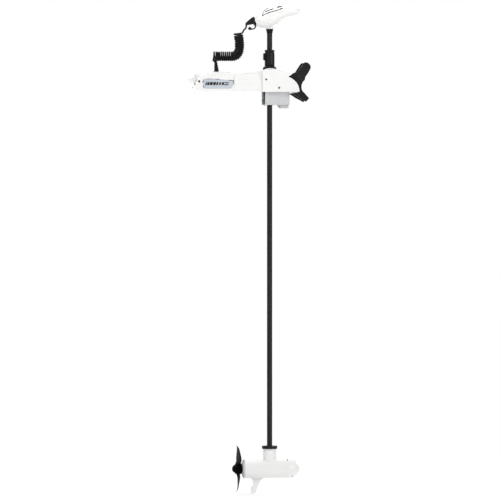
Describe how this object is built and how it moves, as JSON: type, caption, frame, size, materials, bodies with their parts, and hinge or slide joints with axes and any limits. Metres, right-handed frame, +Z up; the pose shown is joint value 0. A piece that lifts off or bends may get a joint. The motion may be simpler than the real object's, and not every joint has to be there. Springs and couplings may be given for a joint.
{
  "type": "bow-mount trolling motor",
  "caption": "Bow-mount electric trolling motor with a long shaft, stow-and-deploy deck mount, curly control cord, teardrop control head and propeller lower unit, shown deployed.",
  "frame": {"origin": "centre of the deck bolt pattern, on the underside of the mount", "axes": "+Z up along the deployed shaft, +X towards the boat's bow, +Y to port"},
  "size_m": [0.655, 0.167, 2.5902],
  "materials": {
    "white_paint": "white powder coat, semi-gloss",
    "white_plastic": "white moulded plastic, semi-gloss",
    "grey_plastic": "light grey moulded plastic",
    "badge_silver": "blue-grey metallic plate with a dark edge",
    "stainless": "brushed stainless",
    "dark_steel": "dark steel",
    "black_plastic": "black moulded plastic, satin",
    "black_rubber": "black rubber",
    "cord_black": "black cable jacket",
    "acetal": "natural acetal",
    "aluminium": "anodised",
    "brass": "machined",
    "shaft_composite": "dark grey composite, satin",
    "lead_insulation": "wire insulation",
    "board_green": "circuit board with parts"
  },
  "bodies": {
    "mount": {"base_channel": "white_paint", "tail_cover": "white_plastic", "side_badges": "badge_silver", "pedal_pins": "black_plastic", "pedal_springs": "stainless", "latch_guide": "black_plastic", "cheek_starboard": "white_paint", "cheek_port": "white_paint", "side_cover_starboard": "white_plastic", "side_cover_port": "white_plastic", "ramp_starboard": "black_rubber", "ramp_port": "black_rubber", "hinge_pins": "stainless", "mount_screws": "dark_steel", "shaft_rest": "black_rubber", "cord_boot": "black_rubber", "power_gland": "black_plastic", "coil_cord_curl": "cord_black", "coil_cord_lower_lead": "cord_black", "coil_cord_upper_lead": "cord_black"},
    "drive_housing": {"housing_upper": "white_plastic", "housing_lower": "grey_plastic", "housing_rear_cap": "black_plastic", "bezel_ring": "black_plastic", "housing_bushes": "acetal", "gear_plate": "stainless", "steering_motor": "dark_steel", "housing_screws": "stainless"},
    "steering": {"steering_sleeve": "aluminium", "output_gear": "acetal"},
    "idler": {"idler_gear": "acetal"},
    "pinion": {"motor_pinion": "brass"},
    "shaft": {"shaft_tube": "shaft_composite", "shaft_leads": "lead_insulation", "head_boot": "black_rubber", "head_base": "white_plastic", "head_cover": "white_plastic", "head_panel": "black_plastic", "control_board": "board_green", "plug_boot": "black_rubber", "tether_cap": "black_rubber", "head_screws": "stainless", "neck_ring": "black_plastic", "motor_housing": "white_paint", "nose_cone": "white_paint", "rear_bell": "grey_plastic", "skeg": "white_plastic", "field_magnets": "dark_steel", "brush_plate": "black_plastic", "through_bolts": "stainless", "motor_bearings": "stainless"},
    "rotor": {"armature_shaft": "stainless", "armature_core": "dark_steel", "propeller": "black_plastic", "prop_nut": "black_plastic"},
    "collar": {"depth_collar": "black_plastic"},
    "knob": {"collar_knob": "black_plastic"},
    "button": {"power_button": "black_rubber"},
    "pedal": {"release_pedal": "white_plastic"},
    "latch": {"latch_bar": "stainless"}
  },
  "joints": [
    {"name": "stow_tilt", "type": "hinge", "parent": "mount", "child": "drive_housing", "pos_m": [0.25, 0, 0.052], "axis": [0, -1, 0], "range_deg": [0, 90]},
    {"name": "steering", "type": "hinge", "parent": "drive_housing", "child": "steering", "pos_m": [0.25, 0, 0], "axis": [0, 0, 1], "range_deg": [-180, 180]},
    {"name": "idler_turn", "type": "hinge", "parent": "drive_housing", "child": "idler", "pos_m": [0.29754, 0.01548, -0.019], "axis": [0, 0, 1], "range_deg": [-181, 181]},
    {"name": "pinion_turn", "type": "hinge", "parent": "drive_housing", "child": "pinion", "pos_m": [0.3235, -0.008, -0.019], "axis": [0, 0, 1], "range_deg": [-451, 451]},
    {"name": "shaft_lift", "type": "slide", "parent": "steering", "child": "shaft", "axis": [0, 0, 1], "range_m": [0, 1.7205]},
    {"name": "prop_spin", "type": "hinge", "parent": "shaft", "child": "rotor", "pos_m": [0.079, 0, -1.996], "axis": [1, 0, 0], "continuous": true},
    {"name": "collar_slide", "type": "slide", "parent": "shaft", "child": "collar", "axis": [0, 0, 1], "range_m": [0, 0.085]},
    {"name": "knob_turn", "type": "hinge", "parent": "collar", "child": "knob", "pos_m": [0.22, 0, 0.1875], "axis": [-1, 0, 0], "range_deg": [0, 720]},
    {"name": "power_press", "type": "slide", "parent": "shaft", "child": "button", "axis": [1, 0, 0], "range_m": [0, 0.0015], "stiffness_N_per_m": 500, "springref_m": -0.001},
    {"name": "pedal_press", "type": "hinge", "parent": "mount", "child": "pedal", "pos_m": [-0.132, 0, 0.055], "axis": [0, -1, 0], "range_deg": [0, 20], "stiffness_Nm_per_rad": 2, "springref_deg": -5.73},
    {"name": "latch_push", "type": "slide", "parent": "mount", "child": "latch", "axis": [1, 0, 0], "range_m": [0, 0.0165]}
  ],
  "couplings": [
    {"joint": "shaft_lift", "follows": "stow_tilt", "m_per_rad": 1.095},
    {"joint": "idler_turn", "follows": "steering", "ratio": -1},
    {"joint": "pinion_turn", "follows": "steering", "ratio": 2.5},
    {"joint": "latch_push", "follows": "pedal_press", "m_per_rad": 0.047}
  ]
}
